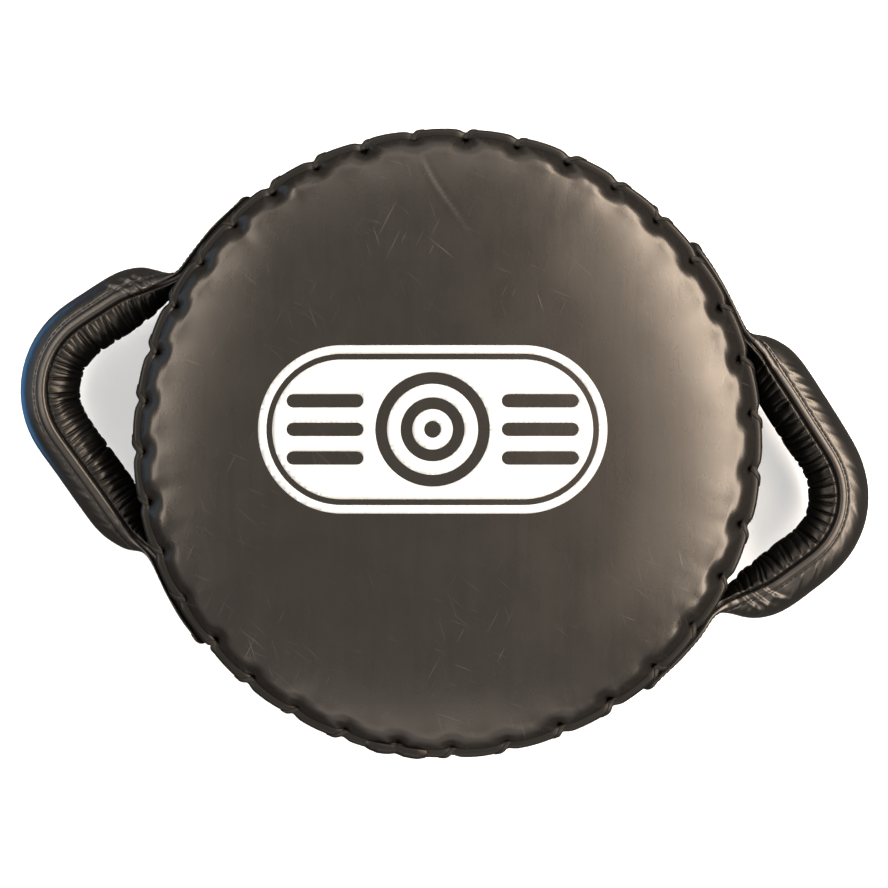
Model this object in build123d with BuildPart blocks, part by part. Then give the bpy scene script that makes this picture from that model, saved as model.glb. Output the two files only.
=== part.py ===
"""Round hand-held strike shield with two stuffed side handles, in millimetres.

The shield lies on its flat back with the strike face up (+Z), and the origin is
the centre of that back, on the round body's axis. Each handle is a stuffed leather
tube bent into a loop. Its ends are pinned to the side wall by flat tails, and
it swings about the chord through its two ends.
"""

from math import cos, radians, sin
import os

from build123d import *

# Shield body
PAD_R = 190.0          # over the rolled edges of the side wall
MID_Z = 44.3           # half height of the side wall, where the handles leave
LEATHER = 2.0          # thickness of every leather panel
GAP = 0.3              # play between a cover and what is inside it
ROLL_R = 3.3           # rolled edge, to the middle of the leather
ROLL_RISE = 35.9       # from MID_Z to the middle of each rolled edge
FACE_TOP = 109.0       # highest point of the strike face
BACK_FLAT_R = 171.3    # flat part of the back
BACK_BEND_R = 14.0     # rise of the back panel towards its seam

# Lacing
STITCHES = 36          # about one every 33 mm round each rim
LACE_SHIFT = 3.6       # degrees round the rim to the first stitch
LACE_DRIFT = 3.3       # degrees that the hand-laced stitches stray from an even pitch
LACE_DRIFT_AT = 54.0   # degrees, where they are furthest on
LACE_WIDTH = 4.0
LACE_THICK = 1.2
LACE_R = 4.5           # middle of the lace round the rolled edge
LACE_SLANT = -35.0     # degrees from square across the edge
LACE_SPAN = 160.0      # degrees of the rolled edge that it covers
LACE_FACING = 45.0     # degrees above the horizontal, middle of that span

# Foam layers, from the back
BOARD_TOP = 14.0       # firm backing board
CORE_TOP = 72.0        # dense core
FOAM_R = 184.4         # core, against the side wall
FOAM_NECK_R = 180.3    # inside the rolled edges
NECK_Z = 11.0          # height of the foam's chamfered corner

# Printed mark, screen ink on the strike face
MARK_WIDTH = 208.0
MARK_HEIGHT = 100.0
MARK_CENTRE = (-8.8, 8.0)
INK = 0.25
RING_RADII = ((34.0, 27.0), (19.0, 12.0))
DOT_R = 5.0
BAR_LENGTH = 46.0
BAR_HEIGHT = 8.0
BAR_PITCH = 17.0
BAR_X = 64.0

# Handles. The left one is drawn, and the right one is turned half way round.
TUBE_R = 18.0
NOSE_R = 8.0           # rounded ends, centred on the hinge line
LOOP_BEND_R = 47.0     # middle line at the far corner of the loop
UPPER_PIN = (-176.0, 96.0)
UPPER_START = (-199.0, 88.2)
LOWER_START = (-209.0, -33.5)
LOWER_PIN = (-192.0, -57.1)
CORNER_Y = 44.8
LEFT_CORNER_X = -265.8
RIGHT_CORNER_X = -260.2   # this loop sits a little closer to the pad
WEB_WIDTH = 21.0       # strap inside the handle
WEB_THICK = 1.8
STITCH_OFFSET = 7.2    # thread row, outward of the cover's seam
THREAD_R = 0.5

# Patch over the closing joint of the side wall's strip
LAP_ANGLES = (256.0, 265.0)
LAP_OUT_R = 189.0
LAP_HEIGHT = 52.0

# Tails, sewn flat on the side wall
TAIL_IN_R = 187.0
TAIL_OUT_R = 194.2
TAIL_WIDTH = 60.0
TAIL_CORNER_R = 12.0
UPPER_TAIL = (128.6, 149.5)   # degrees round the pad
LOWER_TAIL = (198.9, 219.6)
TAIL_WEB_IN_R = 189.7
TAIL_WEB_OUT_R = 191.5
ROW_HALF_GAP = 22.0    # thread rows above and below the middle of a tail

ROLL_X = PAD_R - ROLL_R - LEATHER / 2
FRONT_ROLL_Z = MID_Z + ROLL_RISE
BACK_ROLL_Z = MID_Z - ROLL_RISE

os.makedirs("parts", exist_ok=True)


def save(builder, name, turn=0.0):
    """Label a finished piece and write it, turned about the pad's axis."""
    piece = builder.part.rotate(Axis.Z, turn) if turn else builder.part
    piece.label = name
    export_step(piece, f"parts/{name}.step")


def crown_line(drop):
    """Half section of the strike face, parallel to its outside and drop below it."""
    centre = JernArc((0, FACE_TOP - drop), (1, 0), 1100 - drop, -5.74)
    shoulder = JernArc(centre @ 1, centre % 1, 330 - drop, -11.2)
    return JernArc(shoulder @ 1, shoulder % 1, 15 - drop, -46)


def crown_shell(top_drop, bottom_drop):
    """Revolved skin between two lines parallel to the strike face."""
    with BuildSketch(Plane.XZ) as skin:
        with BuildLine():
            top = crown_line(top_drop)
            bottom = crown_line(bottom_drop)
            Line(top @ 1, bottom @ 1)
            Line((0, FACE_TOP - top_drop), (0, FACE_TOP - bottom_drop))
        make_face()
    revolve(skin.sketch, axis=Axis.Z)


def lace_stitch(roll_z, facing):
    """One stitch of the lace over a rolled edge, on the +X side of the pad."""
    out = Vector(cos(radians(facing)), 0, sin(radians(facing)))
    square = Vector(0, 1, 0).rotate(Axis((0, 0, 0), out), LACE_SLANT)
    plane = Plane(origin=(ROLL_X, 0, roll_z), x_dir=out, z_dir=square)
    with BuildPart() as stitch:
        with BuildSketch(plane):
            with BuildLine():
                outer = CenterArc((0, 0), LACE_R + LACE_THICK / 2, -LACE_SPAN / 2, LACE_SPAN)
                inner = CenterArc((0, 0), LACE_R - LACE_THICK / 2, -LACE_SPAN / 2, LACE_SPAN)
                Line(outer @ 0, inner @ 0)
                Line(outer @ 1, inner @ 1)
            make_face()
        extrude(amount=LACE_WIDTH / 2, both=True)
    return stitch.part


def stitch_angle(number):
    """Degrees round the rim of a stitch."""
    even = number * 360 / STITCHES
    return even + LACE_SHIFT + LACE_DRIFT * cos(radians(even - LACE_DRIFT_AT))


def lacing(roll_z, facing):
    """All the stitches round one rim."""
    stitch = lace_stitch(roll_z, facing)
    turns = [Location((0, 0, 0), (0, 0, stitch_angle(number))) for number in range(STITCHES)]
    with BuildPart() as lace:
        with Locations(*turns):
            add(stitch)
    return lace


front_edge_lace = lacing(FRONT_ROLL_Z, LACE_FACING)
save(front_edge_lace, "front_edge_lace")
rear_edge_lace = lacing(BACK_ROLL_Z, -LACE_FACING)
save(rear_edge_lace, "rear_edge_lace")

with BuildPart() as side_gusset:
    with BuildSketch(Plane.XZ):
        with BuildLine():
            roll = CenterArc((ROLL_X, FRONT_ROLL_Z), ROLL_R, 120, -180)
            waist = JernArc(roll @ 1, roll % 1, ROLL_R, 60)
            Line(waist @ 1, ((waist @ 1).X, MID_Z))
        trace(line_width=LEATHER)
    revolve(axis=Axis.Z)
    mirror(about=Plane.XY.offset(MID_Z))
    add(front_edge_lace.part, mode=Mode.SUBTRACT)
    add(rear_edge_lace.part, mode=Mode.SUBTRACT)
save(side_gusset, "side_gusset")


def wall_plate(start, end, inner_r, outer_r, width, mode=Mode.ADD):
    """Curved plate standing on the side wall between two angles."""
    with BuildSketch(Plane.XZ.rotated((0, 0, start))) as section:
        with Locations(((inner_r + outer_r) / 2, MID_Z)):
            Rectangle(outer_r - inner_r, width)
    revolve(section.sketch, axis=Axis.Z, revolution_arc=end - start, mode=mode)


with BuildPart() as gusset_lap:
    wall_plate(*LAP_ANGLES, TAIL_IN_R, LAP_OUT_R, LAP_HEIGHT)
save(gusset_lap, "gusset_lap")

with BuildPart() as front_panel:
    crown_shell(0, LEATHER)
    add(front_edge_lace.part, mode=Mode.SUBTRACT)
save(front_panel, "front_panel")

with BuildPart() as back_panel:
    with BuildSketch(Plane.XZ):
        with BuildLine():
            under = Line((0, 0), (BACK_FLAT_R, 0))
            under_bend = JernArc(under @ 1, (1, 0), BACK_BEND_R, 50)
            over = Line((0, LEATHER), (BACK_FLAT_R, LEATHER))
            over_bend = JernArc(over @ 1, (1, 0), BACK_BEND_R - LEATHER, 50)
            Line(under @ 0, over @ 0)
            Line(under_bend @ 1, over_bend @ 1)
        make_face()
    revolve(axis=Axis.Z)
    add(rear_edge_lace.part, mode=Mode.SUBTRACT)
save(back_panel, "back_panel")

with BuildPart() as backing_foam:
    with BuildSketch(Plane.XZ):
        Polygon(
            (0, LEATHER + GAP),
            (BACK_FLAT_R - GAP, LEATHER + GAP),
            (FOAM_NECK_R, NECK_Z),
            (FOAM_NECK_R, BOARD_TOP),
            (0, BOARD_TOP),
            align=None,
        )
    revolve(axis=Axis.Z)
save(backing_foam, "backing_foam")

with BuildPart() as core_foam:
    with BuildSketch(Plane.XZ):
        Polygon(
            (0, BOARD_TOP + GAP),
            (FOAM_NECK_R, BOARD_TOP + GAP),
            (FOAM_R, BOARD_TOP + GAP + 5),
            (FOAM_R, CORE_TOP - 5),
            (FOAM_NECK_R, CORE_TOP),
            (0, CORE_TOP),
            align=None,
        )
    revolve(axis=Axis.Z)
save(core_foam, "core_foam")

with BuildPart() as strike_foam:
    with BuildSketch(Plane.XZ):
        with BuildLine():
            top = crown_line(LEATHER + GAP)
            Line(top @ 1, ((top @ 1).X, CORE_TOP + GAP))
            Line(((top @ 1).X, CORE_TOP + GAP), (0, CORE_TOP + GAP))
            Line((0, CORE_TOP + GAP), (0, FACE_TOP - LEATHER - GAP))
        make_face()
    revolve(axis=Axis.Z)
save(strike_foam, "strike_foam")

with BuildPart() as face_print:
    crown_shell(-INK, 0)
    with BuildSketch(Plane.XY.offset(FACE_TOP - BAR_PITCH)):
        with Locations(MARK_CENTRE):
            SlotOverall(MARK_WIDTH, MARK_HEIGHT)
            SlotOverall(MARK_WIDTH - 10, MARK_HEIGHT - 10, mode=Mode.SUBTRACT)
            SlotOverall(MARK_WIDTH - 17, MARK_HEIGHT - 17)
            for outer_r, inner_r in RING_RADII:
                Circle(outer_r, mode=Mode.SUBTRACT)
                Circle(inner_r)
            Circle(DOT_R, mode=Mode.SUBTRACT)
        for side in (-1, 1):
            for row in (-1, 0, 1):
                with Locations((MARK_CENTRE[0] + side * BAR_X, MARK_CENTRE[1] + row * BAR_PITCH)):
                    SlotOverall(BAR_LENGTH, BAR_HEIGHT, mode=Mode.SUBTRACT)
    extrude(amount=2 * BAR_PITCH, mode=Mode.INTERSECT)
save(face_print, "face_print")


def loop_line(corner_x, outward=0.0, rise=0.0):
    """Middle line of a handle's tube, or a line parallel to it in plan."""
    upper, lower = Vector(*UPPER_START), Vector(*LOWER_START)
    corner = Vector(corner_x, CORNER_Y)
    from_upper = (corner - upper).normalized()
    from_lower = (corner - lower).normalized()
    half_turn = radians(180 - from_upper.get_angle(from_lower)) / 2
    points = (
        upper + Vector(from_upper.Y, -from_upper.X) * outward,
        corner + (from_upper + from_lower).normalized() * (outward / cos(half_turn)),
        lower + Vector(-from_lower.Y, from_lower.X) * outward,
    )
    return FilletPolyline(*[(p.X, p.Y, MID_Z + rise) for p in points], radius=LOOP_BEND_R + outward)


def loop_body(corner_x, shrink):
    """The whole stuffed tube with its two tapered ends, shrink smaller all round."""
    with BuildLine() as line:
        loop_line(corner_x)
    with BuildSketch(Plane(line.line @ 0, z_dir=line.line % 0)) as section:
        Circle(TUBE_R - shrink)
    sweep(section.sketch, path=line.line)
    for start, pin in ((UPPER_START, UPPER_PIN), (LOWER_START, LOWER_PIN)):
        wide_end, pin_end = Vector(*start, MID_Z), Vector(*pin, MID_Z)
        run = pin_end - wide_end
        with Locations(Plane((wide_end + pin_end) / 2, z_dir=run)):
            Cone(TUBE_R - shrink, NOSE_R - shrink, run.length)
        with Locations(wide_end):
            Sphere(TUBE_R - shrink)
        with Locations(pin_end):
            Sphere(NOSE_R - shrink)


def outer_half(corner_x, mode):
    """Keep or cut what lies on the far side of the tube's middle line."""
    with BuildSketch(Plane.XY.offset(MID_Z)) as far_side:
        with BuildLine():
            middle = FilletPolyline(UPPER_START, (corner_x, CORNER_Y), LOWER_START, radius=LOOP_BEND_R)
            Polyline(
                middle @ 0,
                UPPER_PIN,
                (UPPER_PIN[0] + 2 * NOSE_R, UPPER_PIN[1] + NOSE_R),
                (UPPER_PIN[0], UPPER_PIN[1] + 60),
                (corner_x - 60, CORNER_Y + 60),
                (corner_x - 60, LOWER_PIN[1] - 60),
                (LOWER_PIN[0] + NOSE_R, LOWER_PIN[1] - 60),
                (LOWER_PIN[0] + NOSE_R, LOWER_PIN[1] - NOSE_R * 1.4),
                LOWER_PIN,
                middle @ 1,
            )
        make_face()
    extrude(far_side.sketch, amount=2 * TUBE_R, both=True, mode=mode)


def strap_section(line, play):
    """Upright strap inside the tube, at the start of its line."""
    with BuildSketch(Plane(line @ 0, x_dir=(0, 0, 1), z_dir=line % 0)) as section:
        Rectangle(WEB_WIDTH + play, WEB_THICK + play)
    return section.sketch


def make_grip(side, corner_x, turn):
    """The moving pieces of one handle."""
    with BuildPart() as hollow:
        loop_body(corner_x, LEATHER)

    with BuildPart() as outer_cover:
        loop_body(corner_x, 0)
        add(hollow.part, mode=Mode.SUBTRACT)
        outer_half(corner_x, Mode.INTERSECT)
    save(outer_cover, f"{side}_grip_outer_cover", turn)

    with BuildPart() as inner_cover:
        loop_body(corner_x, 0)
        add(hollow.part, mode=Mode.SUBTRACT)
        outer_half(corner_x, Mode.SUBTRACT)
    save(inner_cover, f"{side}_grip_inner_cover", turn)

    with BuildPart() as core:
        loop_body(corner_x, LEATHER + GAP)
        with BuildLine() as line:
            loop_line(corner_x)
        sweep(strap_section(line.line, GAP), path=line.line, mode=Mode.SUBTRACT)
    save(core, f"{side}_grip_core", turn)

    with BuildPart() as strap:
        with BuildLine() as line:
            loop_line(corner_x)
        sweep(strap_section(line.line, 0), path=line.line)
    save(strap, f"{side}_grip_webbing", turn)

    row_height = (TUBE_R**2 - STITCH_OFFSET**2) ** 0.5 + 1.1 * THREAD_R
    with BuildPart() as thread:
        for rise in (-row_height, row_height):
            with BuildLine() as line:
                loop_line(corner_x, STITCH_OFFSET, rise)
            with BuildSketch(Plane(line.line @ 0, z_dir=line.line % 0)):
                Circle(THREAD_R)
            sweep(path=line.line)
    save(thread, f"{side}_grip_topstitch", turn)


def make_tails(side, turn):
    """The fixed pieces of one handle: its tails, strap ends and thread rows."""
    for name, (start, end) in (("upper", UPPER_TAIL), ("lower", LOWER_TAIL)):
        with BuildPart() as tail:
            wall_plate(start, end, TAIL_IN_R, TAIL_OUT_R, TAIL_WIDTH)
            fillet(tail.edges().filter_by(lambda edge: edge.length < TAIL_CORNER_R), TAIL_CORNER_R)
            pocket = (TAIL_WEB_IN_R - GAP / 2, TAIL_WEB_OUT_R + GAP / 2, WEB_WIDTH + GAP)
            wall_plate(start + 1, end - 1, *pocket, mode=Mode.SUBTRACT)
        save(tail, f"{side}_{name}_tail", turn)

    with BuildPart() as strap_ends:
        for start, end in (UPPER_TAIL, LOWER_TAIL):
            wall_plate(start + 1.1, end - 1.1, TAIL_WEB_IN_R, TAIL_WEB_OUT_R, WEB_WIDTH)
    save(strap_ends, f"{side}_webbing_ends", turn)

    with BuildPart() as rows:
        for start, end in (UPPER_TAIL, LOWER_TAIL):
            for rise in (-ROW_HALF_GAP, ROW_HALF_GAP):
                with BuildSketch(Plane.XZ.rotated((0, 0, start + 3))):
                    with Locations((TAIL_OUT_R + 1.1 * THREAD_R, MID_Z + rise)):
                        Circle(THREAD_R)
                revolve(axis=Axis.Z, revolution_arc=end - start - 6)
    save(rows, f"{side}_tail_stitching", turn)


for side, corner_x, turn in (("left", LEFT_CORNER_X, 0), ("right", RIGHT_CORNER_X, 180)):
    make_grip(side, corner_x, turn)
    make_tails(side, turn)
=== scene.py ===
"""Looks of a round hand-held strike shield: a laced leather disc with two stuffed loop handles.

The shield lies on its flat back with the strike face up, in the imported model's frame. Shapes are
worked out in millimetres, and make_piece turns them into metres.
"""

from math import acos, asin, cos, pi, radians, sin, tan

import bpy
import numpy as np
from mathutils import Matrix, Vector
from mathutils.geometry import delaunay_2d_cdt


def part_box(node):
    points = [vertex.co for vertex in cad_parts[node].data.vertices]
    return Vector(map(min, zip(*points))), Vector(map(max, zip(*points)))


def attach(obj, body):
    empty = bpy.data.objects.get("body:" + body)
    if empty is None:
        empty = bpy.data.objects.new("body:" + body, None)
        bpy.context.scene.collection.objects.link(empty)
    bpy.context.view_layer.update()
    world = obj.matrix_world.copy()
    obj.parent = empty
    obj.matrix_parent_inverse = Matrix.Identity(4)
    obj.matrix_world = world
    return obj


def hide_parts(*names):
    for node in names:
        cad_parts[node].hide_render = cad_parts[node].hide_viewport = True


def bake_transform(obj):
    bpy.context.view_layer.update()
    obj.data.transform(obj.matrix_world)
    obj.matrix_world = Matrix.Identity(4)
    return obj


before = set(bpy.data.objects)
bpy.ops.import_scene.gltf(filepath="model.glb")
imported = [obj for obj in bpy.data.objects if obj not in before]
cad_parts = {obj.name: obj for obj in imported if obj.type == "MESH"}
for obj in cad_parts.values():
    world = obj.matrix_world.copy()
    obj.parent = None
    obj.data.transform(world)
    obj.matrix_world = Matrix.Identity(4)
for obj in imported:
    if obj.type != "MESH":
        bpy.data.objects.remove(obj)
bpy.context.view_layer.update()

MM = 0.001

# Sizes of the round body in millimetres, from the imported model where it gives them
gusset_low, gusset_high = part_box("side_gusset")
PAD_R = gusset_high.x / MM
MID_Z = (gusset_low.z + gusset_high.z) / 2 / MM
ROLL_OUT = 3.3                       # rolled edge, squeezed by the lace, to the outside
ROLL_RISE = (gusset_high.z - gusset_low.z) / 2 / MM - 4.3
ROLL_X = PAD_R - ROLL_OUT - 0.2
ROLL_SQUARE = 0.78                   # 1 is round, less is squarer
WALL_R = PAD_R - 3.3                 # outside of the side wall
FACE_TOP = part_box("front_panel")[1].z / MM
FLAT_BACK_R = 171.3
BACK_TURN_OUT, BACK_TURN_UP = 14.72, 12.04   # half axes of the back's turned-up edge
CROWN_R = 1100.0                     # curvature of the middle of the strike face
SHOULDER_R = 330.0                   # curvature between the middle and the rim
SHOULDER_AT = 110.0                  # distance from the middle where the shoulder starts
SHOULDER_TILT = 16.94                # degrees, where the shoulder ends
FACE_END_R = 184.7
DEEPEST_DENT = 2.1                   # the foam is 2.3 mm under the face

# Radii at which distances along the rim are measured
PUCKER_R, HOLE_R, WALL_FOLD_R, LACE_PINCH_R = 182.0, 184.0, 187.0, 188.0

# Hand lacing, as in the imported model. The angles are in degrees.
STITCHES = 36
LACE_SHIFT, LACE_DRIFT, LACE_DRIFT_AT = 3.6, 3.3, 54.0
COLUMNS = STITCHES * 24              # of the face and the side wall, round the pad

rng = np.random.default_rng(11)


# ---------------------------------------------------------------- helpers

def hashed(ix, iy, iz, seed):
    """A repeatable value from -1 to 1 for each lattice point."""
    n = (ix * 73856093) ^ (iy * 19349663) ^ (iz * 83492791) ^ (seed * 2654435761)
    n = (n ^ (n >> 13)) & 0xFFFFFFFF
    n = (n * 1274126177) & 0xFFFFFFFF
    n = (n ^ (n >> 16)) & 0xFFFFFFFF
    return n / 0x7FFFFFFF - 1.0


def noise(x, y, z=0.0, seed=0):
    """Smooth lattice noise from about -1 to 1, one unit to a lattice cell."""
    x, y, z = np.broadcast_arrays(np.asarray(x, float), np.asarray(y, float), np.asarray(z, float))
    ix, iy, iz = (np.floor(c).astype(np.int64) for c in (x, y, z))
    fx, fy, fz = x - ix, y - iy, z - iz
    fx, fy, fz = (f * f * (3 - 2 * f) for f in (fx, fy, fz))
    total = np.zeros_like(x)
    for dx in (0, 1):
        for dy in (0, 1):
            for dz in (0, 1):
                weight = (fx if dx else 1 - fx) * (fy if dy else 1 - fy) * (fz if dz else 1 - fz)
                total += weight * hashed(ix + dx, iy + dy, iz + dz, seed)
    return total


def smoothstep(low, high, value):
    t = np.clip((value - low) / (high - low), 0, 1)
    return t * t * (3 - 2 * t)


def bump(value, width):
    """A bell of height 1 and the given half width."""
    return np.exp(-((value / width) ** 2))


def grid_quads(rows, columns, wrap_columns):
    """Faces of a grid of vertices laid out row by row."""
    last = columns if wrap_columns else columns - 1
    row, column = np.meshgrid(np.arange(rows - 1), np.arange(last), indexing="ij")
    after = (column + 1) % columns
    a = row * columns + column
    b = row * columns + after
    return np.stack([a, b, b + columns, a + columns], axis=-1).reshape(-1, 4)


def make_piece(name, points_mm, faces, material, flip=False):
    """A smooth-shaded mesh object from points in millimetres."""
    points = np.asarray(points_mm, float).reshape(-1, 3) * MM
    faces = [list(map(int, f)) for f in faces]
    if flip:
        faces = [f[::-1] for f in faces]
    mesh = bpy.data.meshes.new(name)
    mesh.from_pydata([tuple(p) for p in points], [], faces)
    mesh.validate()
    mesh.shade_smooth()
    mesh.materials.append(material)
    piece = bpy.data.objects.new(name, mesh)
    bpy.context.collection.objects.link(piece)
    return piece


def make_disc(name, points_mm, material, flip=False):
    """A round sheet from rings of points, closed in the middle by a fan."""
    rings, columns, _ = points_mm.shape
    quads = grid_quads(rings, columns, True).tolist()
    hub = rings * columns
    fan = [(hub, (k + 1) % columns, k) for k in range(columns)]
    points = np.concatenate([points_mm.reshape(-1, 3), points_mm[:1].mean(axis=1)])
    return make_piece(name, points, quads + fan, material, flip)


# ---------------------------------------------------------------- materials

class Shader:
    """A small builder for one node material."""

    def __init__(self, name, base, roughness, **sockets):
        self.material = bpy.data.materials.new(name)
        self.material.use_nodes = True
        self.tree = self.material.node_tree
        self.bsdf = next(n for n in self.tree.nodes if n.type == "BSDF_PRINCIPLED")
        self.bsdf.inputs["Base Color"].default_value = (*base, 1)
        self.bsdf.inputs["Roughness"].default_value = roughness
        for socket, value in sockets.items():
            self.bsdf.inputs[socket.replace("_", " ")].default_value = value
        self.where = self.node("ShaderNodeTexCoord").outputs["Object"]

    def node(self, kind, **settings):
        made = self.tree.nodes.new(kind)
        for key, value in settings.items():
            setattr(made, key, value)
        return made

    def link(self, source, target):
        self.tree.links.new(source, target)
        return target

    def mapped(self, scale, turn=0.0):
        """Object coordinates turned about Z, then stretched to so many cells to a metre."""
        mapping = self.node("ShaderNodeMapping", vector_type="TEXTURE")
        mapping.inputs["Scale"].default_value = tuple(1 / c for c in scale)
        mapping.inputs["Rotation"].default_value = (0, 0, turn)
        self.link(self.where, mapping.inputs["Vector"])
        return mapping.outputs["Vector"]

    def noise(self, vector, scale, detail=3.0, roughness=0.55, distortion=0.0):
        made = self.node("ShaderNodeTexNoise")
        made.inputs["Scale"].default_value = scale
        made.inputs["Detail"].default_value = detail
        made.inputs["Roughness"].default_value = roughness
        made.inputs["Distortion"].default_value = distortion
        self.link(vector, made.inputs["Vector"])
        return made.outputs["Fac"]

    def voronoi(self, vector, scale, feature="F1"):
        made = self.node("ShaderNodeTexVoronoi", feature=feature)
        made.inputs["Scale"].default_value = scale
        self.link(vector, made.inputs["Vector"])
        return made.outputs["Distance"]

    def ramp(self, source, low, high, from_value=0.0, to_value=1.0):
        made = self.node("ShaderNodeMapRange")
        made.inputs["From Min"].default_value = low
        made.inputs["From Max"].default_value = high
        made.inputs["To Min"].default_value = from_value
        made.inputs["To Max"].default_value = to_value
        self.link(source, made.inputs["Value"])
        return made.outputs["Result"]

    def math(self, operation, a, b):
        made = self.node("ShaderNodeMath", operation=operation)
        for value, target in ((a, made.inputs[0]), (b, made.inputs[1])):
            if isinstance(value, (int, float)):
                target.default_value = value
            else:
                self.link(value, target)
        return made.outputs[0]

    def colour_between(self, factor, dark, light):
        made = self.node("ShaderNodeMix", data_type="RGBA")
        made.inputs["A"].default_value = (*dark, 1)
        made.inputs["B"].default_value = (*light, 1)
        self.link(factor, made.inputs["Factor"])
        return made.outputs["Result"]

    def bumps(self, *layers):
        """Chained bump nodes, each layer as (height socket, depth in metres)."""
        normal = None
        for height, depth in layers:
            made = self.node("ShaderNodeBump")
            made.inputs["Strength"].default_value = 1.0
            made.inputs["Distance"].default_value = depth
            self.link(height, made.inputs["Height"])
            if normal:
                self.link(normal, made.inputs["Normal"])
            normal = made.outputs["Normal"]
        self.link(normal, self.bsdf.inputs["Normal"])


SHEEN_TINT = (1.0, 0.89, 0.79)
PEBBLES = 1300                       # to a metre
SCUFFS = (                           # direction in radians, then cells to a metre across and along
    (0.3, 900, 26),
    (-0.45, 1100, 34),
    (1.2, 1000, 40),
    (0.85, 820, 22),
)


def leather(name, dark, light, roughness, grain=0.000014, specular=0.35, streaks=0.0, scratches=0.0):
    """Smooth synthetic leather: fine pebble grain, soft mottling, streaks and light scuffs."""
    s = Shader(name, dark, roughness, Specular_Tint=(*SHEEN_TINT, 1), Specular_IOR_Level=specular)
    mottle = s.noise(s.where, 38, detail=5, roughness=0.6)
    shade = s.ramp(mottle, 0.15, 0.85)
    pebble = s.voronoi(s.mapped((1, 1, 1)), PEBBLES)
    creases = s.noise(s.where, 420, detail=4, roughness=0.65)
    rough = s.ramp(mottle, 0.2, 0.8, roughness - 0.03, roughness + 0.04)
    layers = [(pebble, grain), (creases, grain * 2.2)]
    if streaks:
        streak = s.noise(s.mapped((130, 16, 60)), 1.0, detail=4, roughness=0.6)
        shade = s.math("ADD", s.math("MULTIPLY", shade, 0.6), s.ramp(streak, 0.3, 0.7, 0, 0.4 * streaks))
        rough = s.math("ADD", rough, s.ramp(streak, 0.3, 0.7, -0.04 * streaks, 0.05 * streaks))
        layers.append((streak, grain * 2.0))
    colour = s.colour_between(shade, dark, light)
    if scratches:
        marks = None
        for turn, fine, reach in SCUFFS:
            lines = s.noise(s.mapped((fine, reach, 30), turn), 1.0, detail=1.0, distortion=0.4)
            line = s.ramp(lines, 0.71, 0.80)
            marks = line if marks is None else s.math("MAXIMUM", marks, line)
        patchy = s.ramp(s.noise(s.where, 13, detail=2), 0.46, 0.62, 0.1, 1.0)
        marks = s.math("MULTIPLY", s.math("MULTIPLY", marks, patchy), scratches)
        scuffed = s.node("ShaderNodeMix", data_type="RGBA")
        scuffed.inputs["B"].default_value = (*(12 * c for c in light), 1)
        s.link(colour, scuffed.inputs["A"])
        s.link(marks, scuffed.inputs["Factor"])
        colour = scuffed.outputs["Result"]
    s.link(colour, s.bsdf.inputs["Base Color"])
    s.link(rough, s.bsdf.inputs["Roughness"])
    s.bumps(*layers)
    return s.material


def ink(name):
    """Matt white screen ink that takes on the leather's grain."""
    s = Shader(name, (0.3, 0.3, 0.3), 0.6)
    mottle = s.noise(s.where, 120, detail=5, roughness=0.7)
    pinholes = s.ramp(s.noise(s.where, 900, detail=2), 0.66, 0.72)
    white = s.colour_between(s.ramp(mottle, 0.3, 0.7), (0.28, 0.28, 0.277), (0.34, 0.34, 0.336))
    thin = s.node("ShaderNodeMix", data_type="RGBA")
    thin.inputs["B"].default_value = (0.2, 0.195, 0.19, 1)
    s.link(white, thin.inputs["A"])
    s.link(s.math("MULTIPLY", pinholes, 0.35), thin.inputs["Factor"])
    s.link(thin.outputs["Result"], s.bsdf.inputs["Base Color"])
    s.link(s.ramp(mottle, 0.3, 0.7, 0.52, 0.66), s.bsdf.inputs["Roughness"])
    s.bumps((s.voronoi(s.mapped((1, 1, 1)), PEBBLES), 0.00002), (mottle, 0.00004))
    return s.material


def thread(name, colour):
    """Twisted synthetic sewing thread."""
    s = Shader(name, colour, 0.5, Specular_IOR_Level=0.2, Sheen_Weight=0.05)
    twist = s.noise(s.mapped((1, 1, 1)), 2600, detail=2)
    light = tuple(2.2 * c for c in colour)
    s.link(s.colour_between(s.ramp(twist, 0.3, 0.7), colour, light), s.bsdf.inputs["Base Color"])
    s.bumps((twist, 0.0001))
    return s.material


def foam(name, dark, light, cell):
    """Cut foam with open cells."""
    s = Shader(name, dark, 0.95)
    cells = s.voronoi(s.where, cell)
    s.link(s.colour_between(s.ramp(cells, 0.0, 0.7), dark, light), s.bsdf.inputs["Base Color"])
    s.bumps((cells, 0.0006))
    return s.material


def woven(name, dark, light):
    """Plain-woven nylon strap."""
    s = Shader(name, dark, 0.65, Sheen_Weight=0.3)
    wave = s.node("ShaderNodeTexWave", wave_type="BANDS", bands_direction="DIAGONAL")
    wave.inputs["Scale"].default_value = 260
    wave.inputs["Distortion"].default_value = 1.5
    s.link(s.where, wave.inputs["Vector"])
    s.link(s.colour_between(wave.outputs["Fac"], dark, light), s.bsdf.inputs["Base Color"])
    s.bumps((wave.outputs["Fac"], 0.0003))
    return s.material


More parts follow.
